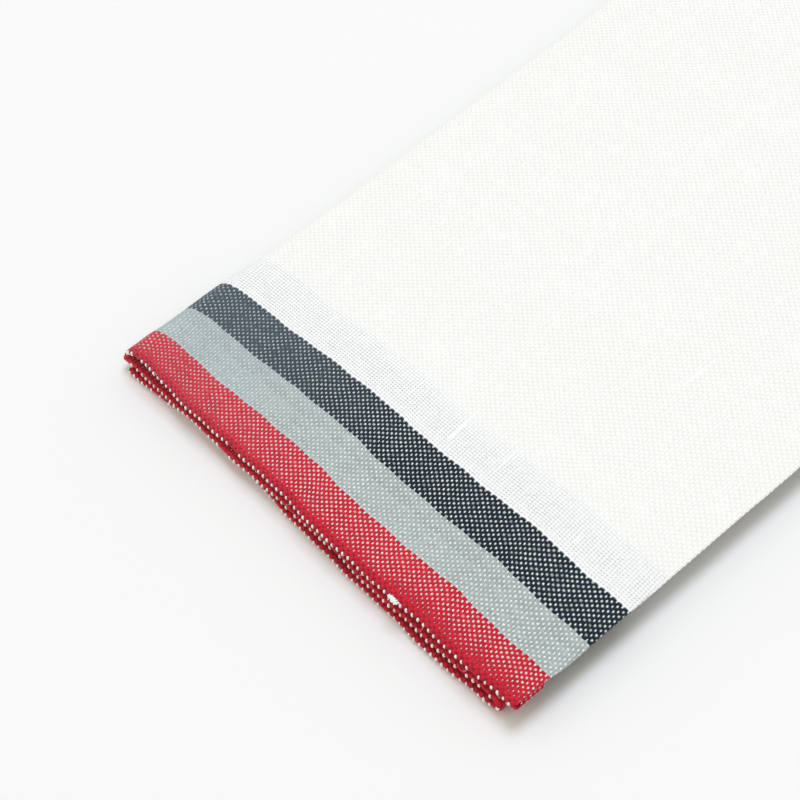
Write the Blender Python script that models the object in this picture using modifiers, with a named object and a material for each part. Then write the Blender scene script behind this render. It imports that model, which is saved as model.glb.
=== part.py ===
"""Tea towel: one hemmed sheet of plain-woven cloth, folded lengthwise in three like a letter Z.

Metres, +Z up. The towel lies on the plane z = 0, its length along Y, its near striped end at -Y,
the fold between its top and middle layers at -X. The origin is the centre of its box, at the base.

The sheet is drawn as its wrong side, from the free edge of the bottom layer round both folds to the
free edge of the top layer, and Solidify gives it its thickness on the right side.
"""

import math

import bmesh
import bpy

NAME = "tea_towel"
MM = 0.001

# Driving dimensions, in millimetres.
LENGTH = 700.0  # hem to hem
WIDTH = 150.0  # folded in three, from 450 flat
CLOTH_THICK = 1.1  # the woven cloth with the air that it holds
HEM_THICK = 1.8  # the cloth where its end is turned under
HEM_DEPTH = 8.0
HEM_FADE = 6.0  # the length over which the lower hems stop lifting the layers above
RED_END = 9.8  # where each woven stripe ends, measured from the hem
GREY_END = 20.3
NAVY_END = 30.7
END_SKEW_REACH = 110.0  # how far in from an end its uneven edge is felt
SIDE_WANDER = 0.7  # how far the long edges stray from straight
TOP_RIPPLE = 0.3  # the height of the broad, soft ripples in the layers

# One row for each stretch of the folded section, on the sheet's wrong side: where it ends, how much
# the hems under it lift it at the towel's ends, the way the sheet runs there (0 degrees to the right,
# 90 up, 180 to the left), and the straight pieces that draw it.
SECTION_COLUMNS = ("place", "across", "height", "hem_lift", "heading", "pieces")
SECTION = (
    ("bottom free edge", -70.5, 0.0, 0.0, 0, 0),
    ("bottom left", -25.0, 0.0, 0.0, 0, 3),
    ("bottom right", 45.0, 0.0, 0.0, 0, 4),
    ("right fold foot", 67.6, 0.0, 0.0, 0, 2),
    ("right fold tip", 69.65, 1.7, 0.35, 90, 6),
    ("right fold head", 67.6, 3.4, 0.7, 180, 6),
    ("middle right", 50.0, 3.3, 0.7, 180, 3),
    ("middle centre", 0.0, 3.3, 0.7, 180, 4),
    ("middle left", -56.0, 3.4, 0.7, 180, 4),
    ("left fold foot", -71.3, 3.4, 0.7, 180, 2),
    ("left fold tip", -72.1, 4.2, 0.7, 90, 4),
    ("left fold head", -71.2, 4.9, 0.7, 35, 4),
    ("shoulder", -65.0, 5.6, 0.6, 0, 5),
    ("shoulder foot", -48.0, 4.95, 0.3, -3, 4),
    ("top left", -34.0, 4.65, 0.1, 0, 2),
    ("top centre", 0.0, 4.6, 0.0, 0, 4),
    ("top right", 45.0, 4.6, 0.0, 0, 4),
    ("top free edge", 75.0, 4.6, 0.0, 0, 4),
)

# How far each layer's hem reaches past the nominal end, at places across the towel.
EDGE_COLUMNS = ("across", "top", "middle", "bottom")
NEAR_EDGE = (
    (-75.0, 0.5, 1.6, 3.0),
    (-60.0, 0.6, 1.9, 2.6),
    (-44.0, 0.7, 1.8, 0.9),
    (-14.0, 0.6, 1.4, 1.2),
    (16.0, 0.9, 1.4, 2.4),
    (50.0, 0.6, 1.4, 2.4),
    (75.0, 0.0, 1.2, 1.2),
)
FAR_EDGE = (
    (-75.0, 0.0, 0.0, 1.4),
    (-38.0, 0.6, 0.3, 1.2),
    (0.0, 0.9, 0.8, 1.7),
    (38.0, 0.5, 1.2, 1.5),
    (75.0, 0.0, 0.9, 0.9),
)

# Where the cross sections stand, measured in from each end: hem, stripes, then the plain ground.
STATIONS_FROM_END = (0.0, 3.0, HEM_DEPTH, RED_END, GREY_END, NAVY_END, 40.0, 65.0, 100.0, 145.0,
                     195.0, 250.0, 300.0)

# Colour, roughness and metallic value of each stripe and of the plain ground.
FINISHES = {
    "red_stripe": ((0.58, 0.02, 0.05), 0.85, 0.0),
    "grey_stripe": ((0.40, 0.46, 0.46), 0.85, 0.0),
    "navy_stripe": ((0.012, 0.02, 0.035), 0.85, 0.0),
    "cream_ground": ((0.92, 0.90, 0.85), 0.85, 0.0),
}


def clear_scene():
    for obj in list(bpy.data.objects):
        bpy.data.objects.remove(obj, do_unlink=True)


def smooth(t):
    """0 up to t = 0, 1 from t = 1, and a soft step between."""
    t = min(max(t, 0.0), 1.0)
    return t * t * (3.0 - 2.0 * t)


def through(before, start, end, after, t):
    """A value on the Catmull-Rom curve that passes through start and end."""
    return between(start, (end - before) / 2.0, end, (after - start) / 2.0, t)


def between(start, leaving, end, arriving, t):
    """A value on the cubic from start to end that leaves and arrives at the given rates."""
    return ((2 * t**3 - 3 * t**2 + 1) * start + (t**3 - 2 * t**2 + t) * leaving
            + (3 * t**2 - 2 * t**3) * end + (t**3 - t**2) * arriving)


def section_at(hem):
    """The section's points in order, where hem is 1 over the hems and 0 past them.

    Each point is the distance across, the height and the place along the section. A stretch whose
    heading turns is drawn as an arc.
    """
    rows = [dict(zip(SECTION_COLUMNS, row)) for row in SECTION]
    for row in rows:
        row["height"] += hem * row["hem_lift"]
        row["heading"] = math.radians(row["heading"])
    points = [(rows[0]["across"], rows[0]["height"], 0.0)]
    for i in range(1, len(rows)):
        start, end = rows[i - 1], rows[i]
        chord = math.hypot(end["across"] - start["across"], end["height"] - start["height"])
        rate = chord / math.cos((end["heading"] - start["heading"]) / 4.0) ** 2
        for piece in range(1, end["pieces"] + 1):
            t = piece / end["pieces"]
            across = between(start["across"], rate * math.cos(start["heading"]),
                             end["across"], rate * math.cos(end["heading"]), t)
            height = between(start["height"], rate * math.sin(start["heading"]),
                             end["height"], rate * math.sin(end["heading"]), t)
            points.append((across, height, i - 1 + t))
    return points


def layer_weights(place):
    """How much a place on the section belongs to the bottom, middle and top layers."""
    names = [row[0] for row in SECTION]
    right = smooth((place - names.index("right fold foot")) / 2.0)
    left = smooth((place - names.index("left fold foot")) / 2.0)
    return {"bottom": 1.0 - right, "middle": right * (1.0 - left), "top": left}


def edge_reach(table, across, weights):
    """How far the hem at this place across the towel reaches past the nominal end."""
    rows = [dict(zip(EDGE_COLUMNS, row)) for row in table]
    across = min(max(across, rows[0]["across"]), rows[-1]["across"])
    i = max(k for k in range(len(rows) - 1) if rows[k]["across"] <= across)
    t = (across - rows[i]["across"]) / (rows[i + 1]["across"] - rows[i]["across"])
    four = [rows[max(i - 1, 0)], rows[i], rows[i + 1], rows[min(i + 2, len(rows) - 1)]]
    return sum(weights[name] * through(*[row[name] for row in four], t) for name in weights)


def ripple(across, along):
    """Broad soft unevenness, between 0 and 1."""
    wave = math.sin(along / 47.0 + across / 90.0) + math.sin(along / 81.0 - across / 38.0 + 1.7)
    return 0.5 + 0.25 * wave


def hem_share(station):
    """1 over the hem at either end, 0 in the body of the towel."""
    return 1.0 - smooth((min(station, LENGTH - station) - HEM_DEPTH) / HEM_FADE)


def placed(point, station):
    """A point of the folded sheet, in metres, for one point of the section at one station."""
    across, height, place = point
    weights = layer_weights(place)
    near = station < LENGTH / 2
    inward = min(station, LENGTH - station)
    reach = edge_reach(NEAR_EDGE if near else FAR_EDGE, across, weights)
    reach *= 1.0 - smooth(inward / END_SKEW_REACH)
    along = station + (-reach if near else reach)
    right = 0.5 + across / WIDTH
    stray_left = math.sin(station / 93.0)
    stray_right = math.sin(station / 71.0 + 2.0)
    wander = SIDE_WANDER * (stray_left * (1.0 - right) + stray_right * right)
    raised = TOP_RIPPLE * ripple(across, along) * (0.4 * weights["middle"] + weights["top"])
    return ((across + wander) * MM, (along - LENGTH / 2) * MM, (height + raised) * MM)


def thickness_share(station):
    """The sheet's thickness at a station, as a share of the hem's."""
    return (CLOTH_THICK + (HEM_THICK - CLOTH_THICK) * hem_share(station)) / HEM_THICK


def stripe_at(station):
    """The name of the finish between this station and the next."""
    inward = min(station, LENGTH - station)
    for name, end in (("red_stripe", RED_END), ("grey_stripe", GREY_END), ("navy_stripe", NAVY_END)):
        if inward < end:
            return name
    return "cream_ground"


def make_material(name):
    colour, roughness, metallic = FINISHES[name]
    material = bpy.data.materials.new(name)
    material.use_nodes = True
    shader = material.node_tree.nodes["Principled BSDF"]
    shader.inputs["Base Color"].default_value = (*colour, 1.0)
    shader.inputs["Roughness"].default_value = roughness
    shader.inputs["Metallic"].default_value = metallic
    return material


def centre_on_origin(rings, stations):
    """Moves the drawn side so that the thickened sheet's box is centred on the origin.

    At the left fold the sheet's thickness lies outside the drawn side.
    """
    verts = [vertex for ring in rings for vertex in ring]
    left = min(
        vertex.co.x - thickness_share(station) * HEM_THICK * MM
        for ring, station in zip(rings, stations)
        for vertex in ring
    )
    right = max(vertex.co.x for vertex in verts)
    near = min(vertex.co.y for vertex in verts)
    far = max(vertex.co.y for vertex in verts)
    for vertex in verts:
        vertex.co.x -= (left + right) / 2
        vertex.co.y -= (near + far) / 2


def make_towel(collection):
    stations = list(STATIONS_FROM_END) + [LENGTH / 2]
    stations += [LENGTH - station for station in reversed(STATIONS_FROM_END)]
    sheet = bmesh.new()
    rings = [
        [sheet.verts.new(placed(point, station)) for point in section_at(hem_share(station))]
        for station in stations
    ]
    names = list(FINISHES)
    around = len(rings[0])
    for i in range(len(stations) - 1):
        middle = (stations[i] + stations[i + 1]) / 2
        for k in range(around - 1):
            face = sheet.faces.new((rings[i][k], rings[i + 1][k], rings[i + 1][k + 1], rings[i][k + 1]))
            face.material_index = names.index(stripe_at(middle))
            face.smooth = True
    centre_on_origin(rings, stations)
    mesh = bpy.data.meshes.new(NAME)
    sheet.to_mesh(mesh)
    sheet.free()

    towel = bpy.data.objects.new(NAME, mesh)
    collection.objects.link(towel)
    for name in names:
        mesh.materials.append(make_material(name))
    share = towel.vertex_groups.new(name="thickness")
    for i, station in enumerate(stations):
        ring = range(i * around, (i + 1) * around)
        share.add(list(ring), thickness_share(station), "REPLACE")
    solidify = towel.modifiers.new("thickness", "SOLIDIFY")
    solidify.thickness = HEM_THICK * MM
    solidify.offset = -1.0
    solidify.vertex_group = share.name
    solidify.use_even_offset = True
    solidify.use_quality_normals = True


def main():
    clear_scene()
    collection = bpy.data.collections.new("Tea Towel")
    bpy.context.scene.collection.children.link(collection)
    make_towel(collection)


main()
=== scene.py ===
"""Looks of a tea towel: a striped plain weave, folded lengthwise in three, with turned hems.

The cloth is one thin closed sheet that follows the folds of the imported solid. It is worked out in
millimetres, as a section across the towel that is swept along it, and becomes metres in the meshes.
A point of the cloth is named by its threads: u counts across the weave, w counts along it.
"""

import math
import random

import bpy
import numpy as np
from mathutils import Matrix, Vector

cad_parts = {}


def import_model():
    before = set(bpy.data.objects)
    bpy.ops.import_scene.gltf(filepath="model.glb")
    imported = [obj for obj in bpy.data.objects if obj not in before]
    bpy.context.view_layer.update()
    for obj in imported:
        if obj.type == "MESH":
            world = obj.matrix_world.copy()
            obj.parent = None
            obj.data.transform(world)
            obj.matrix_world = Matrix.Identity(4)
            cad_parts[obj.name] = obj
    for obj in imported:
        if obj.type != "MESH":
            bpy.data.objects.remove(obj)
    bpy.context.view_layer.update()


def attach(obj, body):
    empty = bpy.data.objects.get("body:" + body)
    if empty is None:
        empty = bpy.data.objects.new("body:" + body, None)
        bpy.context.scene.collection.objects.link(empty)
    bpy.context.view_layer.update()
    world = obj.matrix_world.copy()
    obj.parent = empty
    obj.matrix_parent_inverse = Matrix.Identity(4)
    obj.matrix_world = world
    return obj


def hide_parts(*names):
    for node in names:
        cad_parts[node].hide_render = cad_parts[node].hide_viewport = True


MM = 0.001
LENGTH = 700.0  # hem to hem, folded
HALF_WIDTH = 75.0
CLOTH_THICK = 0.5

# The section across the folded cloth, halfway through its thickness: each row is where a stretch ends,
# in the body of the towel and over its hems, the way the cloth runs there (0 degrees to the right,
# 90 up, 180 to the left), and the columns of mesh that draw it.
SECTION_COLUMNS = ("place", "across", "height", "hem_across", "hem_height", "heading", "columns")
SECTION = (
    ("bottom free edge", -70.5, 0.27, -70.5, 1.50, 0, 0),
    ("bottom left", -25.0, 0.27, -25.0, 1.50, 0, 14),
    ("bottom right", 40.0, 0.27, 40.0, 1.50, 0, 16),
    ("right fold rise", 60.5, 0.35, 60.5, 1.50, 0, 6),
    ("right fold foot", 66.3, 0.70, 66.4, 1.95, 14, 4),
    ("right fold tip", 69.0, 1.60, 69.3, 2.50, 90, 6),
    ("right fold head", 66.6, 2.60, 66.8, 2.98, 180, 6),
    ("middle right", 50.0, 2.50, 50.0, 2.48, 180, 8),
    ("middle centre", 0.0, 2.50, 0.0, 2.48, 180, 12),
    ("middle left", -56.0, 2.55, -56.0, 2.58, 180, 14),
    ("left fold foot", -70.6, 2.50, -70.7, 2.58, 180, 4),
    ("left fold tip", -71.7, 3.15, -71.9, 3.25, 90, 6),
    ("left fold head", -71.0, 3.95, -71.3, 4.05, 40, 5),
    ("left slope", -68.4, 5.75, -68.4, 6.85, 34, 5),
    ("ridge", -65.9, 6.45, -65.6, 7.70, 0, 6),
    ("shoulder foot", -48.0, 5.80, -48.0, 6.60, -3, 14),
    ("top left", -34.0, 5.50, -34.0, 6.32, -1, 10),
    ("top centre", 0.0, 5.40, 0.0, 6.13, 0, 26),
    ("top right", 45.0, 5.40, 45.0, 6.13, 0, 34),
    ("top free edge", 75.0, 5.45, 75.0, 6.40, 1, 26),
)

# How far each layer's hem reaches past the nominal end, at places across the towel.
EDGE_COLUMNS = ("across", "top", "middle", "bottom")
NEAR_EDGE = (
    (-75.0, 0.5, 1.6, 3.1),
    (-62.0, 0.6, 1.9, 3.0),
    (-56.0, 0.6, 1.9, 1.0),
    (-40.0, 0.7, 1.7, 0.8),
    (-14.0, 0.5, 1.3, 1.2),
    (8.0, 0.8, 1.3, 2.3),
    (22.0, 1.0, 1.4, 2.5),
    (38.0, 0.7, 1.4, 2.5),
    (60.0, 0.4, 1.4, 2.2),
    (75.0, 0.0, 1.2, 1.2),
)
FAR_EDGE = (
    (-75.0, 0.0, 0.0, 1.4),
    (-38.0, 0.6, 0.3, 1.2),
    (0.0, 0.9, 0.8, 1.7),
    (38.0, 0.5, 1.2, 1.5),
    (75.0, 0.0, 0.9, 0.9),
)
END_SKEW_REACH = 110.0  # how far in from an end its uneven edge is felt

# Near the left fold the top layer's weft runs out of square, towards the end of the towel.
SQUARE_FROM = -15.0  # to the right of this it is square
SKEW_BROAD, SKEW_SHARP = 2.3, 1.5  # two parts of how far it is out at the left edge
SKEW_STATIONS = (0.0, 9.8, 20.0, 31.0, 60.0, 130.0)
SKEW_SHARES = (0.0, 0.86, 1.0, 1.1, 0.8, 0.0)
RIGHT_SKEW = 1.1  # the same at the right edge
FAR_SKEW = 0.7  # the far end's share of it
# Near its ends the left fold is pushed out sideways, to the left of here.
FOLD_PUSH = 1.8
PUSH_LEFT_OF, PUSH_RAMP = -64.0, 7.0
PUSH_UNTIL, PUSH_FADE = 26.0, 24.0
SIDE_WANDER = 0.7  # how far the long edges stray from straight
TOP_RIPPLE, BOTTOM_RIPPLE = 0.3, 0.10  # the heights of the broad, soft ripples in the layers
FINE_COCKLE, BROAD_COCKLE = 0.035, 0.09  # the same of the small unevenness of washed cloth

# The hem: the end is turned under twice, and the folds are this tight.
HEM_DEPTH = 8.0
HEM_FADE = 6.0
TURN = 0.6  # between the cloth's turns, and the radius of the fold at the rim
RAW_EDGE = 1.5  # how far inside the rim the cut end lies

# Creases and soft swells on the top layer: from and to, as (across, along from the near end), half
# width and height.
CREASE_COLUMNS = ("start", "end", "spread", "height")
CREASES = (
    ((-58.0, 14.0), (-44.0, 62.0), 6.0, -0.22),
    ((-20.0, 4.0), (-27.0, 30.0), 5.0, 0.16),
    ((18.0, 2.0), (25.0, 24.0), 6.0, -0.14),
    ((56.0, 3.0), (50.0, 34.0), 5.0, 0.15),
    ((-30.0, 60.0), (34.0, 88.0), 9.0, 0.22),
    ((20.0, 118.0), (72.0, 96.0), 8.0, -0.20),
    ((-60.0, 150.0), (10.0, 168.0), 10.0, 0.24),
    ((-10.0, 236.0), (66.0, 222.0), 9.0, -0.22),
    ((-64.0, 300.0), (40.0, 322.0), 11.0, 0.26),
    ((0.0, 384.0), (70.0, 402.0), 9.0, 0.24),
    ((-62.0, 452.0), (14.0, 438.0), 9.0, -0.22),
    ((-20.0, 540.0), (68.0, 556.0), 10.0, 0.24),
    ((-54.0, 640.0), (-44.0, 690.0), 6.0, -0.20),
    ((22.0, 668.0), (16.0, 697.0), 5.0, 0.15),
)

# The weave. The weft's pitch divides the length into an odd number of threads, so that the two ends
# match.
WARP_PITCH = 0.917
WEFT_THREADS = 1073
WEFT_PITCH = LENGTH / WEFT_THREADS
RED_THREADS = 15
GREY_THREADS = 16
NAVY_THREADS = 16
SHEER_THREADS = 16
RED_END = RED_THREADS * WEFT_PITCH
GREY_END = RED_END + GREY_THREADS * WEFT_PITCH
NAVY_END = GREY_END + NAVY_THREADS * WEFT_PITCH
SHEER_END = NAVY_END + SHEER_THREADS * WEFT_PITCH
# Half the width of each thread, as a share of its pitch.
WARP_HALF = 0.27
WEFT_HALF = 0.70
SHEER_WARP, SHEER_WEFT = 0.08, -0.28  # what the sheer band adds to them
COVERED_WARP, GREY_WARP = -0.10, 0.05  # what is added where the weft is beaten up, and in the grey stripe
# Past the rim the warp leans to the left, by this much in all, until this far in.
LEAN = 5.2
LEAN_FROM, LEAN_UNTIL = -4.0, 48.0
# To the right of this, more of the top layer's weft is beaten up close at the rim.
TIGHT_ACROSS = 25.0
TIGHT_FADE = 18.0
DEEPEST = -1.6  # how far down an opening in the weave goes, in thread heights
OPENING = 0.55  # how solid the cloth is at an opening
RELIEF = 0.13  # a thread's height, in millimetres
# Painted shade: how much the cloth's colour is darkened deep between its layers and under the rims, where
# shade falls.
PAINTED_SHADE_DARKER = 0.75  # how much darker the cloth is deep between its layers

# The white warp that floats over a hem's rim: where it starts and ends, in degrees round the rim from
# its top, half its width, and the share of threads that are missing.
FLOAT_STARTS = (42, 56)
FLOAT_ENDS = (104, 120)
FLOAT_HALF_WIDTHS = (0.22, 0.32)
FLOATS_MISSING = 0.06

# Thick places in the warp, mostly in the sheer band: across, where they start and end from the near
# rim, and half width.
SLUBS = (
    (-5.0, 33.5, 41.5, 0.20),
    (12.0, 32.5, 44.0, 0.24),
    (27.0, 34.0, 42.0, 0.20),
    (-38.0, 35.0, 40.0, 0.16),
    (54.0, 33.0, 37.5, 0.16),
    (-17.0, 52.0, 60.0, 0.15),
    (41.0, 74.0, 86.0, 0.16),
    (-33.0, 96.0, 104.0, 0.16),
    (5.0, 663.0, 668.0, 0.20),
    (-30.0, 658.0, 666.0, 0.18),
    (44.0, 660.0, 667.0, 0.18),
)

# Loose fibre: a tuft on the near rim, and fibre ends along all the hems.
TUFT_ACROSS, TUFT_ANGLE = 36.8, 60
TUFT_FIBRES, TUFT_HALF_WIDTHS = 90, (0.13, 0.05)
FIBRE_ENDS, FIBRE_HALF_WIDTHS = 46, (0.035, 0.014)

# Colours, linear.
RED = (0.58, 0.0125, 0.034)
GREY = (0.388, 0.442, 0.445)
NAVY = (0.0063, 0.0175, 0.031)
BLEACHED = (0.92, 0.925, 0.935)
SHEER_WHITE = (0.925, 0.93, 0.95)
CREAM = (0.93, 0.925, 0.90)
WARP_WHITE = (0.92, 0.92, 0.915)
YARN_WHITE = (0.97, 0.97, 0.965)  # of the yarn that stands free of the weave
WORN = (0.60, 0.77, 0.90)  # what rubbing adds to the dyed yarn over the left fold
HUSK = (0.62, 0.52, 0.30)
FLOOR_COLOUR = (0.85, 0.85, 0.855)
SKY_COLOUR = (1.0, 0.985, 0.885)
WINDOW_COLOUR = (0.80, 0.855, 1.0)

# The camera: the photo's, in millimetres and degrees, with the towel lying level.
CAMERA_PLACE = (299.2, -429.03, 338.19)
CAMERA_AZIMUTH = 69.82
CAMERA_ELEVATION = 45.69
CAMERA_ROLL = 23.32
FOCAL_PIXELS = 2121.1
IMAGE_PIXELS = 800
SENSOR = 36.0

# The studio: the floor in millimetres, the light in metres and watts.
FLOOR_HALF_SIZE = 40000.0
FLOOR_DROP = 0.02  # under the towel
SKY_STRENGTH = 0.775
WINDOW_PLACE = (0.0, 3.32, 8.50)
WINDOW_AIM = (0.0, -0.33, 0.0)
WINDOW_SIZE = 5.0
WINDOW_POWER = 415.0


# ---------------------------------------------------------------------------------------------------
# The folded shape
# ---------------------------------------------------------------------------------------------------


def smooth(t):
    t = np.clip(t, 0.0, 1.0)
    return t * t * (3.0 - 2.0 * t)


def arc(start, end, turn_from, turn_to, t):
    """A point of the curve between two points that runs the given way at each, in degrees."""
    chord = math.dist(start, end)
    rate = chord / math.cos(math.radians(turn_to - turn_from) / 4.0) ** 2
    leave = (rate * math.cos(math.radians(turn_from)), rate * math.sin(math.radians(turn_from)))
    arrive = (rate * math.cos(math.radians(turn_to)), rate * math.sin(math.radians(turn_to)))
    weights = (2 * t**3 - 3 * t**2 + 1, t**3 - 2 * t**2 + t, 3 * t**2 - 2 * t**3, t**3 - t**2)
    return [sum(w * v[i] for w, v in zip(weights, (start, leave, end, arrive))) for i in (0, 1)]


def section(across, height):
    """The section's points, one for each column, read from the table columns with these names."""
    rows = [dict(zip(SECTION_COLUMNS, row)) for row in SECTION]
    points = [(rows[0][across], rows[0][height])]
    for a, b in zip(rows, rows[1:]):
        for k in range(1, b["columns"] + 1):
            t = k / b["columns"]
            points.append(arc((a[across], a[height]), (b[across], b[height]), a["heading"], b["heading"], t))
    return np.array(points)


def column_places():
    """Each column's place along the section, counted in rows of the table."""
    places = [0.0]
    for i, row in enumerate(SECTION[1:]):
        pieces = row[SECTION_COLUMNS.index("columns")]
        places += [i + k / pieces for k in range(1, pieces + 1)]
    return np.array(places)


BODY_SECTION = section("across", "height")
HEM_SECTION = section("hem_across", "hem_height")
PLACES = column_places()
THREADS_U = np.concatenate(([0.0], np.cumsum(np.linalg.norm(np.diff(BODY_SECTION, axis=0), axis=1))))
WIDTH_U = THREADS_U[-1]
TOP_MIDDLE_U = WIDTH_U - HALF_WIDTH  # the thread count along the middle line of the top layer
COLUMNS = len(THREADS_U)
EDGE_ANGLES = tuple(math.radians(a) for a in (45, 90, 135))  # of the points round a long edge of the cloth


def layer_weights(places):
    """How much each place on the section belongs to the bottom, middle and top layers."""
    names = [row[0] for row in SECTION]
    right = smooth((places - names.index("right fold foot")) / 2.0)
    left = smooth((places - names.index("left fold foot")) / 2.0)
    return {"bottom": 1.0 - right, "middle": right * (1.0 - left), "top": left}


def edge_reach(table, across, weights):
    """How far the hems reach past the nominal end at these places, with small wiggles of their own."""
    reach = 0.0
    knots = [row[0] for row in table]
    for i, name in enumerate(("top", "middle", "bottom")):
        column = [row[EDGE_COLUMNS.index(name)] for row in table]
        line = np.interp(across, knots, column)
        soft = sum(np.interp(across + d, knots, column) for d in (-9.0, -4.5, 4.5, 9.0))
        wiggle = 0.10 * np.sin(across / 1.9 + 2.0 * i) + 0.13 * np.sin(across / 4.1 + 1.3 * i)
        wiggle = wiggle + 0.16 * np.sin(across / 8.7 + 4.0 * i)
        reach = reach + weights[name] * ((line + soft) / 5.0 + wiggle)
    return reach


def weft_skew(across, inward):
    """How far the top layer's weft is out of square, at this distance in from an end."""
    t = np.clip((SQUARE_FROM - across) / (HALF_WIDTH + SQUARE_FROM), 0.0, 1.05)
    share = np.interp(inward, SKEW_STATIONS, SKEW_SHARES)
    right = RIGHT_SKEW * smooth((across - 40.0) / 40.0)
    return (SKEW_BROAD * t**1.7 + SKEW_SHARP * t**12 + right) * share


def crease_height(across, along):
    """How high the creases and swells raise the top layer."""
    total = 0.0
    for row in CREASES:
        crease = dict(zip(CREASE_COLUMNS, row))
        start, end = np.array(crease["start"]), np.array(crease["end"])
        run = end - start
        length = np.linalg.norm(run)
        run = run / length
        dx, dy = across - start[0], along - start[1]
        t = (dx * run[0] + dy * run[1]) / length
        aside = dx * -run[1] + dy * run[0]
        ends = smooth((t + 0.25) / 0.5) * smooth((1.25 - t) / 0.5)
        total = total + crease["height"] * ends * np.exp(-((aside / crease["spread"]) ** 2))
    return total


def cockle(across, along):
    """The small unevenness of washed cloth."""
    fine = np.sin(across / 2.3 + 1.1 * np.sin(along / 7.0)) * np.sin(along / 3.1 + np.sin(across / 9.0))
    broad = np.sin(across / 6.1 + 0.8 * np.sin(along / 11.0)) * np.sin(along / 8.3 + across / 17.0)
    return FINE_COCKLE * fine + BROAD_COCKLE * broad


def ripple(across, along):
    """Broad soft unevenness, between 0 and 1."""
    wave = np.sin(along / 47.0 + across / 90.0) + np.sin(along / 81.0 - across / 38.0 + 1.7)
    return 0.5 + 0.25 * wave


def cloth_surface(u, station):
    """Points halfway through the cloth, in millimetres, with no hem turned: one for each u and station."""
    u, station = np.broadcast_arrays(np.asarray(u, float), np.asarray(station, float))
    place = np.interp(u, THREADS_U, PLACES)
    inward = np.minimum(station, LENGTH - station)
    hem = 1.0 - smooth((inward - HEM_DEPTH) / HEM_FADE)
    across, height = (
        (1.0 - hem) * np.interp(u, THREADS_U, BODY_SECTION[:, i])
        + hem * np.interp(u, THREADS_U, HEM_SECTION[:, i])
        for i in (0, 1)
    )
    weights = layer_weights(place)
    near = station < LENGTH / 2
    fade = 1.0 - smooth(inward / END_SKEW_REACH)
    reach_near = edge_reach(NEAR_EDGE, across, weights)
    reach_far = edge_reach(FAR_EDGE, across, weights)
    along = station + fade * np.where(near, -reach_near, reach_far)
    along = along + weights["top"] * weft_skew(across, inward) * np.where(near, -1.0, FAR_SKEW)
    right = 0.5 + across / (2 * HALF_WIDTH)
    wander = SIDE_WANDER * (np.sin(station / 93.0) * (1.0 - right) + np.sin(station / 71.0 + 2.0) * right)
    push = FOLD_PUSH * smooth((PUSH_LEFT_OF - across) / PUSH_RAMP)
    push = push * (1.0 - smooth((inward - PUSH_UNTIL) / PUSH_FADE)) * (1.0 - weights["bottom"])
    height = height + TOP_RIPPLE * ripple(across, along) * (0.4 * weights["middle"] + weights["top"])
    height = height + weights["top"] * (crease_height(across, along) + cockle(across, along))
    low_wave = 1.0 + np.sin(along / 19.0 + across / 23.0)
    height = height + weights["bottom"] * BOTTOM_RIPPLE * low_wave * (1.0 - hem)
    return np.stack((across + wander - push, along - LENGTH / 2, height), axis=-1)


def surface_normals(u, station):
    """Unit normals of that surface, on the face of the cloth."""
    step = 0.05
    right, left = np.clip(u + step, 0, WIDTH_U), np.clip(u - step, 0, WIDTH_U)
    far, near = np.clip(station + step, 0, LENGTH), np.clip(station - step, 0, LENGTH)
    du = cloth_surface(right, station) - cloth_surface(left, station)
    dw = cloth_surface(u, far) - cloth_surface(u, near)
    normal = np.cross(du, dw)
    return normal / np.linalg.norm(normal, axis=-1, keepdims=True)


def hem_path():
    """The way of the cloth from its cut end to the top of the rim, halfway through the cloth.

    Each point is its distance in from the rim and its depth under the cloth's face.
    """
    inner = HEM_DEPTH - TURN / 2
    path = [(d, TURN) for d in (RAW_EDGE, 4.5)]
    for k in range(6):
        angle = math.pi * k / 5
        path.append((inner + TURN / 2 * math.sin(angle), TURN * 1.5 - TURN / 2 * math.cos(angle)))
    path.append((4.0, 2 * TURN))
    for k in range(9):
        angle = math.pi * k / 8
        path.append((TURN - TURN * math.sin(angle), TURN + TURN * math.cos(angle)))
    return path


def row_list():
    """For each row of the mesh: its station, its depth under the face, and its thread count w."""
    turned = hem_path()
    lengths = [math.dist(a, b) for a, b in zip(turned, turned[1:])]
    w = TURN - sum(lengths)
    near = []
    for i, (d, depth) in enumerate(turned):
        near.append((d, depth, w))
        w += lengths[i] if i < len(lengths) else 0.0
    body = np.concatenate((
        np.linspace(1.3, 46.0, 45),
        np.linspace(49.0, 160.0, 37),
        np.linspace(170.0, 540.0, 38),
        np.linspace(546.0, 655.0, 19),
        np.linspace(657.5, LENGTH - 1.3, 20),
    ))
    rows = near + [(s, 0.0, s) for s in body]
    rows += [(LENGTH - d, depth, LENGTH - count) for d, depth, count in reversed(near)]
    return np.array(rows)


# ---------------------------------------------------------------------------------------------------
# Meshes
# ---------------------------------------------------------------------------------------------------


def new_object(name, verts, faces, uvs=None):
    """A mesh object from points in millimetres. uvs maps a layer's name to two numbers for each corner."""
    mesh = bpy.data.meshes.new(name)
    mesh.from_pydata((np.asarray(verts) * MM).tolist(), [], faces)
    for layer_name, values in (uvs or {}).items():
        layer = mesh.uv_layers.new(name=layer_name)
        layer.data.foreach_set("uv", np.asarray(values, np.float32).ravel())
    mesh.polygons.foreach_set("use_smooth", [True] * len(mesh.polygons))
    mesh.update()
    obj = bpy.data.objects.new(name, mesh)
    bpy.context.scene.collection.objects.link(obj)
    return obj


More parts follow.
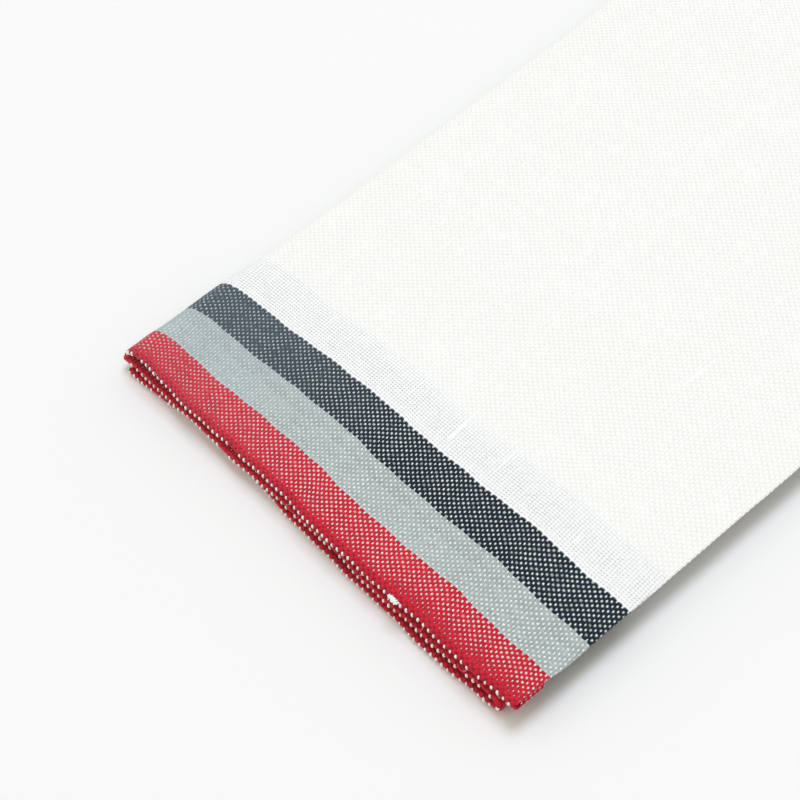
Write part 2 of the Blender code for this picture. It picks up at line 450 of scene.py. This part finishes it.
def painted_shade_shares(counts):
    """Painted shade: how far each point of the rings is out of the light between the layers, from 0 to 1."""
    w = np.minimum(counts, LENGTH - counts)[:, None]
    layers = layer_weights(PLACES)
    inner = (layers["bottom"] + layers["middle"]) * smooth(THREADS_U / 3.0)
    face = inner * smooth((w - 0.3) / 0.8) + (layers["middle"] + layers["top"]) * smooth((-w - 1.0) / 0.7)
    back = (layers["middle"] + layers["top"]) * smooth((WIDTH_U - THREADS_U) / 3.0) * np.ones_like(w)
    bare = np.zeros((len(counts), 3))
    past_stripes = 1.0 - 0.50 * smooth((w - 26.0) / 6.0)  # the white cloth lets more light through
    return np.concatenate((face, bare, back[:, ::-1], bare, face[:, :1]), axis=1) * past_stripes


def ring_points(rows):
    """The points round the cloth at each row: its face, its right edge, its back and its left edge."""
    station, depth = rows[:, 0][:, None], rows[:, 1][:, None]
    u = THREADS_U[None, :]
    middle = cloth_surface(u, station) - surface_normals(u, station) * depth[:, :, None]
    along = np.gradient(middle, axis=0)
    over = np.gradient(middle, axis=1)
    normal = np.cross(over, along)
    normal /= np.linalg.norm(normal, axis=-1, keepdims=True)
    over /= np.linalg.norm(over, axis=-1, keepdims=True)
    half = CLOTH_THICK / 2
    face = middle + normal * half
    back = middle - normal * half

    def edge(j, sign):
        """Points round a long edge of the cloth, from its face to its back."""
        return [
            middle[:, j] + half * (math.cos(a) * normal[:, j] + sign * math.sin(a) * over[:, j])
            for a in EDGE_ANGLES
        ]

    ring = [face[:, j] for j in range(COLUMNS)] + edge(-1, 1.0)
    ring += [back[:, j] for j in reversed(range(COLUMNS))] + edge(0, -1.0)[::-1]
    return np.stack(ring, axis=1)


def ring_counts():
    """The thread count and the place in the atlas of a ring's points, with the first again at the end."""
    round_edge = CLOTH_THICK / 2 * math.pi
    shares = [a / math.pi for a in EDGE_ANGLES]
    counts = np.concatenate((
        THREADS_U, [WIDTH_U + WARP_PITCH * s for s in shares],
        THREADS_U[::-1] + WARP_PITCH, [WARP_PITCH * (1 - s) for s in shares], [0.0],
    ))
    atlas = np.concatenate((
        THREADS_U, [WIDTH_U + round_edge * s for s in shares],
        2 * WIDTH_U + round_edge - THREADS_U[::-1], [2 * WIDTH_U + round_edge * (1 + s) for s in shares],
        [2 * WIDTH_U + 2 * round_edge],
    ))
    return counts, atlas


class SheetFaces:
    """The cloth's faces, with the thread counts, painted shade share and place in the atlas of each corner.
    """

    def __init__(self, atlas_size):
        self.atlas_size = atlas_size
        self.faces, self.threads, self.tucks, self.places = [], [], [], []

    def add(self, corners):
        """Adds a face whose corners are its point, u, w, painted shade share and two places in the atlas."""
        self.faces.append(tuple(corner[0] for corner in corners))
        for _, u, w, tucked, x, y in corners:
            self.threads.append((u, w))
            self.tucks.append((tucked, 0.0))
            self.places.append((x / self.atlas_size, y / self.atlas_size))

    def layers(self):
        return {"threads": self.threads, "tucked": self.tucks, "OFBake": self.places}


def close_cut_end(sheet, start, w, along, strip, turned_round):
    """The faces that close a cut end, from the ring that starts at this point. They take the full painted
    shade.
    """
    ring_u = ring_counts()[0]
    last_back = 2 * COLUMNS + len(EDGE_ANGLES) - 1  # the back's point under column 0
    order = -1 if turned_round else 1
    for j in range(COLUMNS - 1):
        corners = [(j, j, 0.0), (j + 1, j + 1, 0.0)]
        corners += [(last_back - j - 1, j + 1, 0.5), (last_back - j, j, 0.5)]
        sheet.add([
            (start + point, THREADS_U[column], w, 1.0, strip + aside, THREADS_U[column])
            for point, column, aside in corners[::order]
        ])
    around = len(ring_u) - 1
    for first in (COLUMNS - 1, last_back):
        points = [point % around for point in range(first, first + len(EDGE_ANGLES) + 2)]
        sheet.add([
            (start + point, ring_u[point], w, 1.0, ring_u[point] % 1.0, along + 2.0 + point % 5)
            for point in points[::order]
        ])


def make_cloth():
    """The whole towel as one closed thin sheet: a ring of points round the cloth at each row."""
    rows = row_list()
    points = ring_points(rows)
    n_rows, around = points.shape[:2]
    ring_u, atlas = ring_counts()
    counts = rows[:, 2]
    along = counts - counts[0]
    # Painted shade between the layers and under the rims, carried to the material in its own UV layer.
    tucked = painted_shade_shares(counts)
    sheet = SheetFaces(atlas[-1] + 4.0)
    for i in range(n_rows - 1):
        for k in range(around):
            sheet.add([
                (r * around + c % around, ring_u[c], counts[r], tucked[r, c], atlas[c], along[r])
                for r, c in ((i, k), (i, k + 1), (i + 1, k + 1), (i + 1, k))
            ])
    strip = atlas[-1] + 1.5
    close_cut_end(sheet, 0, counts[0], along[0], strip, True)
    close_cut_end(sheet, (n_rows - 1) * around, counts[-1], along[-1], strip + 1.2, False)
    cloth = new_object("towel_cloth", points.reshape(-1, 3), sheet.faces, sheet.layers())
    cloth.data.uv_layers.active = cloth.data.uv_layers["threads"]
    return cloth


def tube(path, radii, sides=6, flat=1.0):
    """Points and faces of a closed tapered tube along a path, in millimetres."""
    path = np.asarray(path, float)
    tangent = np.gradient(path, axis=0)
    tangent /= np.linalg.norm(tangent, axis=1, keepdims=True)
    aside = np.cross(tangent, (0.0, 0.0, 1.0))
    lost = np.linalg.norm(aside, axis=1) < 1e-3
    aside[lost] = (1.0, 0.0, 0.0)
    aside /= np.linalg.norm(aside, axis=1, keepdims=True)
    up = np.cross(aside, tangent)
    verts, faces = [], []
    for p, a, b, r in zip(path, aside, up, radii):
        for k in range(sides):
            angle = 2 * math.pi * k / sides
            verts.append(p + r * (math.cos(angle) * a + flat * math.sin(angle) * b))
    n = len(path)
    for i in range(n - 1):
        for k in range(sides):
            k2 = (k + 1) % sides
            faces.append((i * sides + k, (i + 1) * sides + k, (i + 1) * sides + k2, i * sides + k2))
    faces.append(tuple(range(sides)))
    faces.append(tuple((n - 1) * sides + k for k in reversed(range(sides))))
    return verts, faces


class Strands:
    """Many short strands in one mesh. Each has its weft's place, and how much it takes that weft's colour."""

    def __init__(self):
        self.verts, self.faces, self.colours = [], [], []

    def add(self, path, radii, dyed=0.0, weft=0.0, **shape):
        verts, faces = tube(path, radii, **shape)
        start = len(self.verts)
        self.verts += verts
        self.faces += [tuple(start + v for v in face) for face in faces]
        self.colours += [(dyed, weft)] * sum(len(face) for face in faces)

    def make(self, name):
        return new_object(name, self.verts, self.faces, {"threads": self.colours})


def proud_points(u, station, lift):
    """Points that stand this far proud of the cloth's face."""
    return cloth_surface(u, station) + surface_normals(u, station) * (CLOTH_THICK / 2 + lift)


def rim_points(u, angle, lift, near):
    """Points round a hem's rim: the angle is 0 on top of the fold and 90 degrees on its outermost line."""
    u, angle, lift = np.broadcast_arrays(u, np.radians(angle), lift)
    radius = TURN + CLOTH_THICK / 2 + lift
    d = TURN - radius * np.sin(angle)
    depth = TURN - radius * np.cos(angle)
    inside = np.maximum(d, 0.0)
    station = inside if near else LENGTH - inside
    points = cloth_surface(u, station) - surface_normals(u, station) * depth[..., None]
    points[..., 1] += (inside - d) * (-1.0 if near else 1.0)
    return points


def make_hem_floats(rng):
    """The white warp threads that show over every hem's rim, at every second thread."""
    strands = Strands()
    share = np.linspace(0.0, 1.0, 7)
    swell = np.sqrt(1.0 - (2.0 * share - 1.0) ** 2)
    for near in (True, False):
        threads = [k for k in range(0, int(WIDTH_U / WARP_PITCH), 2) if rng.random() > FLOATS_MISSING]
        starts = np.array([rng.uniform(*FLOAT_STARTS) for _ in threads])[:, None]
        ends = np.array([rng.uniform(*FLOAT_ENDS) for _ in threads])[:, None]
        leans = np.array([rng.uniform(-0.16, 0.16) for _ in threads])[:, None]
        u = (np.array(threads)[:, None] + 0.5) * WARP_PITCH + leans * (share - 0.5)
        angles = starts + (ends - starts) * share
        # The middle layer lies with its wrong side up, so that its rim is seen from there.
        layers = layer_weights(np.interp(u, THREADS_U, PLACES))
        turned_up = (layers["bottom"] < 0.9) & (layers["top"] < 0.5)
        angles = np.where(turned_up, 180.0 - angles, angles)
        for path in rim_points(u, angles, 0.10 * swell - 0.02, near):
            radii = rng.uniform(*FLOAT_HALF_WIDTHS) * (0.40 + 0.60 * swell)
            strands.add(path, radii, dyed=rng.uniform(0.0, 0.40) ** 2, weft=3.0, sides=7)
    return strands.make("hem_warp_floats")


def make_selvedges(rng):
    """The weft's turns round the last warp thread, along both long edges of the cloth."""
    strands = Strands()
    turns = np.arange(1, int(LENGTH / (2 * WEFT_PITCH)) - 1)
    share = np.linspace(0.0, 1.0, 6)
    swell = np.sin(math.pi * share)
    stations = (2 * turns[:, None] + 0.5 + share) * WEFT_PITCH
    for u_edge, sign in ((WIDTH_U, 1.0), (0.0, -1.0)):
        edge = cloth_surface(u_edge, stations)
        outward = edge - cloth_surface(u_edge - sign * 0.5, stations)
        outward /= np.linalg.norm(outward, axis=-1, keepdims=True)
        for k in range(len(turns)):
            reach = rng.uniform(0.12, 0.22)
            path = edge[k] + outward[k] * (reach * swell + 0.08)[:, None]
            path[:, 2] += 0.10 * (0.5 - share)
            weft = (2 * turns[k] + 1) * WEFT_PITCH
            strands.add(path, 0.10 + 0.06 * swell, dyed=rng.uniform(0.8, 1.0), weft=weft, sides=5)
    return strands.make("selvedge_turns")


def make_slubs(rng):
    """The thick places in the warp. Each leans as the warp does there."""
    strands = Strands()
    for across, start, end, width in SLUBS:
        u = TOP_MIDDLE_U + across
        stations = np.linspace(start, end, 14)
        t = np.linspace(0.0, 1.0, 14)
        sway = 0.12 * np.sin(t * rng.uniform(3.0, 6.0) + rng.uniform(0.0, 6.0))
        swell = np.sin(math.pi * t) ** 0.6 * (1.0 + 0.2 * np.sin(t * 17.0 + across))
        inward = np.minimum(stations, LENGTH - stations)
        leaning = LEAN * smooth((inward - LEAN_FROM) / (LEAN_UNTIL - LEAN_FROM))
        path = proud_points(u + sway - leaning + leaning[0], stations, -0.06)
        strands.add(path, 0.04 + width * swell, sides=8, flat=0.6)
    return strands.make("thick_warp_places")


def curl(rng, start, heading, length, rise, turns):
    """A loose fibre: a path that wanders from its start."""
    steps = 14
    points = [np.array(start, float)]
    for _ in range(steps):
        heading += rng.uniform(-1.0, 1.0) * turns
        rise += rng.uniform(-0.5, 0.5) * 0.5
        way = np.array((math.cos(heading), math.sin(heading), 0.5 * rise))
        points.append(points[-1] + length / steps * way)
    return points


def make_fluff(rng):
    """A tuft of white fibre caught on the near rim, and a few stray fibre ends along the hems."""
    strands = Strands()
    tuft = rim_points(TOP_MIDDLE_U + TUFT_ACROSS, TUFT_ANGLE, 0.30, True)
    for _ in range(TUFT_FIBRES):
        start = tuft + np.array((rng.uniform(-1.5, 1.1), rng.uniform(-0.25, 0.3), rng.uniform(-0.2, 0.2)))
        heading = rng.uniform(0, 2 * math.pi)
        path = curl(rng, start, heading, rng.uniform(0.4, 1.2), rng.uniform(-0.5, 0.5), 1.3)
        strands.add(path, np.linspace(*TUFT_HALF_WIDTHS, len(path)), sides=5)
    for _ in range(FIBRE_ENDS):
        u = TOP_MIDDLE_U + rng.uniform(-70.0, 74.0)
        near = rng.random() < 0.7
        start = rim_points(u, rng.uniform(20, 110), 0.0, near)
        heading = rng.uniform(math.pi, 2 * math.pi) if near else rng.uniform(0, math.pi)
        path = curl(rng, start, heading, rng.uniform(0.8, 2.2), rng.uniform(-0.3, 0.8), 0.6)
        dyed = rng.choice((0.9, 0.9, 0.0))
        strands.add(path, np.linspace(*FIBRE_HALF_WIDTHS, len(path)), dyed=dyed, weft=3.0, sides=4)
    return strands.make("loose_fibres")


# ---------------------------------------------------------------------------------------------------
# Materials
# ---------------------------------------------------------------------------------------------------


class Term:
    """One number of a shader, so that a formula can be written as one: a + b makes an Add node."""

    def __init__(self, tree, socket):
        self.tree, self.socket = tree, socket

    def __add__(self, other):
        return maths(self.tree, "ADD", self, other)

    __radd__ = __add__

    def __sub__(self, other):
        return maths(self.tree, "SUBTRACT", self, other)

    def __rsub__(self, other):
        return maths(self.tree, "SUBTRACT", other, self)

    def __mul__(self, other):
        return maths(self.tree, "MULTIPLY", self, other)

    __rmul__ = __mul__

    def __truediv__(self, other):
        return maths(self.tree, "DIVIDE", self, other)

    def __neg__(self):
        return self * -1.0


def maths(tree, operation, *values):
    node = tree.nodes.new("ShaderNodeMath")
    node.operation = operation
    connect(tree, zip(node.inputs, values))
    return Term(tree, node.outputs[0])


def connect(tree, pairs):
    """Links each socket to its term, or gives it its plain value."""
    for socket, value in pairs:
        if isinstance(value, Term):
            tree.links.new(value.socket, socket)
        else:
            socket.default_value = value


def soft_step(tree, value, low, high):
    """0 up to low, 1 from high, and a soft step between."""
    node = tree.nodes.new("ShaderNodeMapRange")
    node.interpolation_type = "SMOOTHSTEP"
    named = {"Value": value, "From Min": low, "From Max": high}
    connect(tree, ((node.inputs[name], term) for name, term in named.items()))
    return Term(tree, node.outputs["Result"])


def band(tree, value, start, end, fade):
    """1 between start and end, and 0 outside them."""
    return soft_step(tree, value, start - fade, start + fade) * (
        1.0 - soft_step(tree, value, end - fade, end + fade))


def noise(tree, x, y, z=0.0, scale=1.0, detail=1.0):
    """Smooth noise at a point, about 0 and mostly within 0.5 of it."""
    joined = tree.nodes.new("ShaderNodeCombineXYZ")
    connect(tree, zip(joined.inputs, (x, y, z)))
    node = tree.nodes.new("ShaderNodeTexNoise")
    tree.links.new(joined.outputs[0], node.inputs["Vector"])
    node.inputs["Scale"].default_value = scale
    node.inputs["Detail"].default_value = detail
    return Term(tree, node.outputs["Fac"]) - 0.5


def each_thread(tree, index, seed):
    """A random number from 0 to 1 for each whole number."""
    node = tree.nodes.new("ShaderNodeTexWhiteNoise")
    node.noise_dimensions = "1D"
    connect(tree, ((node.inputs["W"], index + seed),))
    return Term(tree, node.outputs["Value"])


def mix_colour(tree, factor, a, b):
    node = tree.nodes.new("ShaderNodeMix")
    node.data_type = "RGBA"
    sockets = {s.identifier: s for s in node.inputs}
    for name, value in (("A_Color", a), ("B_Color", b)):
        if isinstance(value, Term):
            tree.links.new(value.socket, sockets[name])
        else:
            sockets[name].default_value = (*value, 1.0)
    connect(tree, ((sockets["Factor_Float"], factor),))
    return Term(tree, {s.identifier: s for s in node.outputs}["Result_Color"])


def stripes(tree, thread):
    """The weft's colour for a thread counted from the rim."""
    node = tree.nodes.new("ShaderNodeValToRGB")
    ramp = node.color_ramp
    ramp.interpolation = "CONSTANT"
    span = 128.0  # threads, from one end of the ramp to the other
    ends = np.cumsum((RED_THREADS, GREY_THREADS, NAVY_THREADS, SHEER_THREADS))
    ramp.elements[0].color = (*RED, 1.0)
    ramp.elements[1].position = ends[0] / span
    ramp.elements[1].color = (*GREY, 1.0)
    for end, colour in zip(ends[1:], (NAVY, BLEACHED, CREAM)):
        ramp.elements.new(end / span).color = (*colour, 1.0)
    connect(tree, ((node.inputs["Fac"], (thread + 0.5) / span),))
    return Term(tree, node.outputs["Color"])


def new_material(name, roughness, sheen):
    """A material with its node tree and its shader."""
    material = bpy.data.materials.new(name)
    material.use_nodes = True
    shader = material.node_tree.nodes["Principled BSDF"]
    shader.inputs["Roughness"].default_value = roughness
    shader.inputs["Specular IOR Level"].default_value = 0.25
    shader.inputs["Sheen Weight"].default_value = sheen
    shader.inputs["Sheen Roughness"].default_value = 0.5
    return material, material.node_tree, shader


def add_bump(tree, shader, height, strength, distance):
    bump = tree.nodes.new("ShaderNodeBump")
    bump.inputs["Strength"].default_value = strength
    bump.inputs["Distance"].default_value = distance
    tree.links.new(height.socket, bump.inputs["Height"])
    tree.links.new(bump.outputs["Normal"], shader.inputs["Normal"])


def uv_terms(tree, layer):
    """The two numbers that a UV layer holds."""
    node = tree.nodes.new("ShaderNodeUVMap")
    node.uv_map = layer
    split = tree.nodes.new("ShaderNodeSeparateXYZ")
    tree.links.new(node.outputs["UV"], split.inputs[0])
    return Term(tree, split.outputs["X"]), Term(tree, split.outputs["Y"])


def scaled(tree, colour, factor):
    """A colour times a number."""
    node = tree.nodes.new("ShaderNodeVectorMath")
    node.operation = "SCALE"
    tree.links.new(colour.socket, node.inputs[0])
    connect(tree, ((node.inputs["Scale"], factor),))
    return Term(tree, node.outputs[0])


def rounded(tree, distance, width):
    """The height of a round thread at this distance from its middle line, and 0 beside it."""
    share = distance / width
    return maths(tree, "SQRT", maths(tree, "MAXIMUM", 1.0 - share * share, 0.0))


def thread_height(tree, rise, distance, width):
    """A thread's height where its middle line has this rise. It is sunk far down where it isn't."""
    height = rounded(tree, distance, width)
    return rise + (height - 4.0 * maths(tree, "LESS_THAN", height, 0.001))


def weave_zones(tree, u, v, w, from_rim, fold_u):
    """How much each point of the cloth belongs to the places where the weave or the wear differs."""
    soft_edge = 2.4 * noise(tree, u, 5.0, scale=0.05) + 1.0 * noise(tree, u, 8.0, scale=0.3)
    sheer = soft_step(tree, v, NAVY_END - 0.3, NAVY_END + 0.6) * (
        1.0 - soft_step(tree, v + soft_edge, SHEER_END - 2.2, SHEER_END + 2.0))
    # Near the rim the weft is beaten up close, and covers the warp, as it does inside the hem's fold.
    tight = soft_step(tree, u, TOP_MIDDLE_U + TIGHT_ACROSS, TOP_MIDDLE_U + TIGHT_ACROSS + TIGHT_FADE)
    uneven = from_rim + 2.2 * noise(tree, u, w, 31.0, scale=0.18, detail=2.0)
    covered = soft_step(tree, from_rim, -3.2, -0.7) * (
        1.0 - soft_step(tree, uneven, 0.2 + 0.6 * tight, 3.4 + 1.9 * tight))
    # The left fold, and the top layer to the right of it, are worn.
    fold = WIDTH_U - 2 * HALF_WIDTH + 5.0
    worn = soft_step(tree, fold_u, fold - 12.0, fold) * (
        1.0 - soft_step(tree, fold_u, fold + 8.0, fold + 80.0))
    return {
        "sheer": sheer,
        "covered": covered,
        "at_rim": 1.0 - soft_step(tree, maths(tree, "ABSOLUTE", from_rim - 0.1), 0.9, 1.5),
        "grey": band(tree, v, RED_END, GREY_END, 0.2),
        "worn": worn,
    }


def thread_widths(tree, u, w, warp, weft, chance, zones):
    """How wide the warp and the weft are here, as a share of the pitch to either side of the middle."""
    warp_uneven = 0.13 * noise(tree, warp * 7.31, w, scale=0.9, detail=2.0)
    warp_uneven = warp_uneven + 0.06 * (each_thread(tree, warp, 3.7) - 0.5) + 0.15 * (chance - 0.5)
    weft_uneven = 0.12 * noise(tree, u, weft * 5.17, scale=0.5, detail=2.0)
    weft_uneven = weft_uneven + 0.08 * (each_thread(tree, weft, 8.1) - 0.5)
    warp_half = WARP_HALF + warp_uneven + SHEER_WARP * zones["sheer"]
    warp_half = warp_half + COVERED_WARP * zones["covered"] + GREY_WARP * zones["grey"]
    return warp_half, WEFT_HALF + weft_uneven + SHEER_WEFT * zones["sheer"]


def weave_heights(tree, across, along, warp, weft, widths):
    """The top of the warp, the top of the weft, and the weft thread that is the upper one here."""
    fu, fv = across - warp - 0.5, along - weft - 0.5
    over = 1.0 - 2.0 * maths(tree, "FLOORED_MODULO", warp + weft, 2.0)  # 1 where the warp is on top
    warp_swing = over * maths(tree, "COSINE", fv * math.pi)
    weft_swing = over * maths(tree, "COSINE", fu * math.pi)
    away_u = 1.0 - maths(tree, "ABSOLUTE", fu)
    away_v = 1.0 - maths(tree, "ABSOLUTE", fv)
    warp_here = thread_height(tree, warp_swing, fu, widths[0])
    warp_beside = thread_height(tree, -warp_swing, away_u, widths[0])
    weft_here = thread_height(tree, -weft_swing, fv, widths[1])
    weft_beside = thread_height(tree, weft_swing, away_v, widths[1])
    beside = maths(tree, "GREATER_THAN", weft_beside, weft_here)
    return (
        maths(tree, "MAXIMUM", warp_here, warp_beside),
        maths(tree, "MAXIMUM", weft_here, weft_beside),
        weft + beside * maths(tree, "SIGN", fv),
    )


def shading(tree, u, w, warp, shown_weft, dyed):
    """How dark or light the weft and the warp are. Dye takes by thread, along each thread and in clouds."""
    weft_shade = 0.90 + 0.20 * each_thread(tree, shown_weft, 5.3)
    weft_shade = weft_shade + 0.50 * noise(tree, u, shown_weft * 3.3, 2.0, scale=0.35, detail=3.0)
    weft_shade = weft_shade + 0.30 * noise(tree, u, w, 41.0, scale=0.06, detail=2.0)
    warp_shade = 0.93 + 0.08 * each_thread(tree, warp, 11.0)
    warp_shade = warp_shade + 0.10 * noise(tree, warp * 2.7, w, 6.0, scale=0.4)
    return (
        1.0 + (weft_shade - 1.0) * (0.05 + 0.95 * dyed),
        1.0 + (warp_shade - 1.0) * (0.35 + 0.65 * dyed),
    )


def depth_shade(tree, u, w, height, shows_warp, dyed, zones):
    """How much light reaches this height: between the threads it is darker."""
    covered = zones["covered"]
    raised = height + 1.3 * covered * shows_warp
    light = soft_step(tree, raised, -0.55 + 0.15 * covered, 1.40 + 0.50 * covered)
    light = 0.28 + 0.16 * covered + (0.72 - 0.16 * covered) * light
    open_here = 0.10 + 0.45 * noise(tree, u, w, 67.0, scale=0.22, detail=3.0)
    return 1.0 - (1.0 - light) * (0.14 + 0.86 * dyed + zones["sheer"] * open_here)


def weave_material():
    """A plain weave: white warp, striped weft, with the heights of both threads worked out at each point."""
    material, tree, shader = new_material("plain_weave", 0.88, 0.05)
    fold_u, w = uv_terms(tree, "threads")
    from_rim = maths(tree, "MINIMUM", w, LENGTH - w)
    u = fold_u + LEAN * soft_step(tree, from_rim, LEAN_FROM, LEAN_UNTIL)
    # The threads wander a little.
    u = u + 0.34 * noise(tree, fold_u, w, 3.0, scale=0.11) + 0.25 * noise(tree, fold_u, w, 9.0, scale=0.60)
    v = from_rim + 0.34 * noise(tree, u, w, 17.0, scale=0.10) + 0.23 * noise(tree, u, w, 23.0, scale=0.55)
    across, along = u / WARP_PITCH, v / WEFT_PITCH
    warp, weft = maths(tree, "FLOOR", across), maths(tree, "FLOOR", along)
    chance = each_thread(tree, warp * 37.0 + weft, 2.3)  # one number for each crossing
    zones = weave_zones(tree, u, v, w, from_rim, fold_u)
    covered, worn, sheer = zones["covered"], zones["worn"], zones["sheer"]

    widths = thread_widths(tree, u, w, warp, weft, chance, zones)
    warp_top, weft_top, shown_weft = weave_heights(tree, across, along, warp, weft, widths)
    warp_top = warp_top + 0.20 - (1.25 + 0.85 * chance) * covered - 1.5 * zones["at_rim"]
    height = maths(tree, "MAXIMUM", maths(tree, "MAXIMUM", warp_top, weft_top), DEEPEST)
    shows_warp = soft_step(tree, warp_top - weft_top, -0.10, 0.16)

    dyed = 1.0 - soft_step(tree, shown_weft * WEFT_PITCH, NAVY_END - 0.8, NAVY_END - 0.2)
    colour = stripes(tree, shown_weft)
    weft_shade, warp_shade = shading(tree, u, w, warp, shown_weft, dyed)
    # Some of the warp is hairy with dyed fibre, and worn cloth is paler.
    hairy = 0.17 + 0.50 * chance * chance * chance + 0.40 * covered + 0.30 * worn
    white = mix_colour(tree, maths(tree, "MINIMUM", hairy, 0.9) * dyed, WARP_WHITE, colour)
    yarn = mix_colour(tree, shows_warp, scaled(tree, colour, weft_shade), scaled(tree, white, warp_shade))
    yarn = mix_colour(tree, sheer, yarn, SHEER_WHITE)
    yarn = mix_colour(tree, 0.095 * worn * dyed * (0.35 + 0.7 * soft_step(tree, v, 8.0, 12.0)), yarn, WORN)
    # Stray specks of husk in the white ground.
    speck = soft_step(tree, noise(tree, u, w, 77.0, scale=0.55), 0.285, 0.33) * (1.0 - dyed)
    yarn = mix_colour(tree, 0.30 * speck, yarn, HUSK)
    light = depth_shade(tree, u, w, height, shows_warp, dyed, zones)
    # Painted shade: the colour is darkened deep between the layers and under the rims, where shade falls.
    tucked = uv_terms(tree, "tucked")[0]
    final = scaled(tree, yarn, light * (1.0 - PAINTED_SHADE_DARKER * tucked))
    tree.links.new(final.socket, shader.inputs["Base Color"])

    # Light passes between the threads of the sheer band.
    solid = maths(tree, "MAXIMUM", maths(tree, "GREATER_THAN", height, DEEPEST + 0.05), OPENING)
    tree.links.new(solid.socket, shader.inputs["Alpha"])

    twist = 0.05 * maths(tree, "SINE", (u + v) * 22.0)
    relief = (height + twist + 0.25 * noise(tree, u, w, 51.0, scale=3.0, detail=2.0)) * RELIEF
    add_bump(tree, shader, relief, 0.8, MM)
    return material


def strand_material():
    """Yarn and fibre that stands free of the weave: white, with a share of its weft's colour."""
    material, tree, shader = new_material("loose_yarn", 0.9, 0.15)
    dyed, w = uv_terms(tree, "threads")
    places = tree.nodes.new("ShaderNodeTexCoord")
    grain = tree.nodes.new("ShaderNodeTexNoise")
    grain.inputs["Scale"].default_value = 1500.0
    grain.inputs["Detail"].default_value = 2.0
    tree.links.new(places.outputs["Object"], grain.inputs["Vector"])
    grain = Term(tree, grain.outputs["Fac"])
    thread = maths(tree, "FLOOR", maths(tree, "MINIMUM", w, LENGTH - w) / WEFT_PITCH)
    colour = mix_colour(tree, dyed, YARN_WHITE, stripes(tree, thread))
    colour = scaled(tree, colour, 0.90 + 0.20 * grain)
    tree.links.new(colour.socket, shader.inputs["Base Color"])
    add_bump(tree, shader, grain, 0.5, 0.1 * MM)
    return material


# ---------------------------------------------------------------------------------------------------
# Stage
# ---------------------------------------------------------------------------------------------------


def make_floor():
    corners = [(x * FLOOR_HALF_SIZE, y * FLOOR_HALF_SIZE, 0) for x, y in ((-1, -1), (1, -1), (1, 1), (-1, 1))]
    floor = new_object("floor", corners, [(0, 1, 2, 3)])
    material, tree, shader = new_material("pale_floor", 0.9, 0.0)
    shader.inputs["Base Color"].default_value = (*FLOOR_COLOUR, 1.0)
    floor.data.materials.append(material)
    floor.location.z = -FLOOR_DROP * MM


def make_light():
    """A big soft light behind and above the towel, under an even sky."""
    world = bpy.data.worlds.new("studio")
    world.use_nodes = True
    sky = world.node_tree.nodes["Background"]
    sky.inputs["Color"].default_value = (*SKY_COLOUR, 1.0)
    sky.inputs["Strength"].default_value = SKY_STRENGTH
    bpy.context.scene.world = world
    data = bpy.data.lights.new("window", "AREA")
    data.shape = "DISK"
    data.size = WINDOW_SIZE
    data.energy = WINDOW_POWER
    data.color = WINDOW_COLOUR
    light = bpy.data.objects.new("window", data)
    light.location = WINDOW_PLACE
    light.rotation_euler = (Vector(WINDOW_AIM) - Vector(WINDOW_PLACE)).to_track_quat("-Z", "Y").to_euler()
    bpy.context.scene.collection.objects.link(light)


def make_camera():
    azimuth, elevation, roll = (math.radians(a) for a in (CAMERA_AZIMUTH, CAMERA_ELEVATION, CAMERA_ROLL))
    back = Vector((
        math.sin(azimuth) * math.cos(elevation),
        -math.cos(azimuth) * math.cos(elevation),
        math.sin(elevation),
    ))
    level = (-back).cross(Vector((0, 0, 1))).normalized()
    rise = back.cross(level)
    across = level * math.cos(roll) - rise * math.sin(roll)
    up = rise * math.cos(roll) + level * math.sin(roll)
    data = bpy.data.cameras.new("camera")
    data.lens = SENSOR * FOCAL_PIXELS / IMAGE_PIXELS
    data.sensor_width = SENSOR
    data.clip_start = 0.01
    camera = bpy.data.objects.new("camera", data)
    turned = Matrix((across, up, back)).transposed().to_4x4()
    camera.matrix_world = Matrix.Translation(Vector(CAMERA_PLACE) * MM) @ turned
    bpy.context.scene.collection.objects.link(camera)
    bpy.context.scene.camera = camera


def main():
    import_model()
    make_camera()
    make_light()
    make_floor()
    rng = random.Random(7)

    cloth = make_cloth()
    cloth.data.materials.append(weave_material())
    yarn = strand_material()
    extras = [make_hem_floats(rng), make_selvedges(rng), make_slubs(rng), make_fluff(rng)]
    for piece in extras:
        piece.data.materials.append(yarn)
    for piece in [cloth] + extras:
        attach(piece, "root")
    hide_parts("tea_towel")

    bpy.context.scene.view_settings.view_transform = "Standard"


main()
